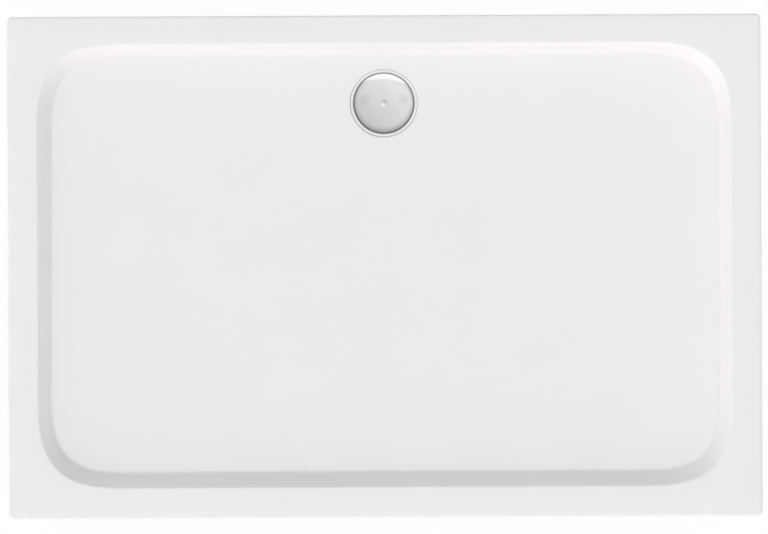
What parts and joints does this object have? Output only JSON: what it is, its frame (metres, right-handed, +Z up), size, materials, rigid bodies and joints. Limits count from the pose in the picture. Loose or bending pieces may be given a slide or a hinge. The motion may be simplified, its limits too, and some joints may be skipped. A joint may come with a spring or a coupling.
{
  "type": "shower tray",
  "caption": "Low white rectangular shower tray with a flat rim, a shallow basin falling to a round domed chrome waste near one long side, a trap below and adjustable feet.",
  "frame": {"origin": "on the floor under the middle of the tray, which is the underside of the middle foot", "axes": "+X along the long side, +Y towards the long edge that the waste is near, +Z up"},
  "size_m": [1.2, 0.8, 0.159],
  "materials": {
    "white_acrylic": "gloss",
    "glass_fibre_resin": "rough laminate",
    "chipboard": "raw",
    "zinc_steel": "zinc plated",
    "stainless_screw": "plain",
    "polished_steel": "polished",
    "chrome_cover": "polished",
    "seal_rubber": "matt",
    "white_plastic": "moulded",
    "grey_plastic": "moulded",
    "black_plastic": "moulded"
  },
  "bodies": {
    "tray": {"tray_shell": "white_acrylic", "resin_backing": "glass_fibre_resin", "base_board": "chipboard", "foot_socket_front_left": "black_plastic", "foot_socket_front_right": "black_plastic", "foot_socket_back_left": "black_plastic", "foot_socket_back_right": "black_plastic", "foot_socket_middle": "black_plastic", "captive_nuts": "zinc_steel", "lock_nuts": "zinc_steel", "foot_screws": "zinc_steel", "waste_flange": "polished_steel", "flange_seal": "seal_rubber", "trap_seal": "seal_rubber", "trap_body": "white_plastic", "trap_outlet": "white_plastic", "flange_screws": "stainless_screw", "outlet_nut": "white_plastic", "outlet_seal": "seal_rubber"},
    "foot_front_left": {"foot_rod_front_left": "zinc_steel", "foot_pad_front_left": "black_plastic"},
    "foot_front_right": {"foot_rod_front_right": "zinc_steel", "foot_pad_front_right": "black_plastic"},
    "foot_back_left": {"foot_rod_back_left": "zinc_steel", "foot_pad_back_left": "black_plastic"},
    "foot_back_right": {"foot_rod_back_right": "zinc_steel", "foot_pad_back_right": "black_plastic"},
    "foot_middle": {"foot_rod_middle": "zinc_steel", "foot_pad_middle": "black_plastic"},
    "dip": {"dip_tube": "grey_plastic", "dip_seal": "seal_rubber"},
    "sieve": {"hair_sieve": "grey_plastic"},
    "cover": {"waste_cover": "chrome_cover", "cover_stem": "grey_plastic"}
  },
  "joints": [
    {"name": "foot_front_left_height", "type": "slide", "parent": "tray", "child": "foot_front_left", "axis": [0, 0, -1], "range_m": [-0.005, 0.02]},
    {"name": "foot_front_right_height", "type": "slide", "parent": "tray", "child": "foot_front_right", "axis": [0, 0, -1], "range_m": [-0.005, 0.02]},
    {"name": "foot_back_left_height", "type": "slide", "parent": "tray", "child": "foot_back_left", "axis": [0, 0, -1], "range_m": [-0.005, 0.02]},
    {"name": "foot_back_right_height", "type": "slide", "parent": "tray", "child": "foot_back_right", "axis": [0, 0, -1], "range_m": [-0.005, 0.02]},
    {"name": "foot_middle_height", "type": "slide", "parent": "tray", "child": "foot_middle", "axis": [0, 0, -1], "range_m": [-0.005, 0.02]},
    {"name": "dip_lift", "type": "slide", "parent": "tray", "child": "dip", "axis": [0, 0, 1], "range_m": [0, 0.095]},
    {"name": "sieve_lift", "type": "slide", "parent": "dip", "child": "sieve", "axis": [0, 0, 1], "range_m": [0, 0.035]},
    {"name": "cover_lift", "type": "slide", "parent": "sieve", "child": "cover", "axis": [0, 0, 1], "range_m": [0, 0.035]}
  ]
}
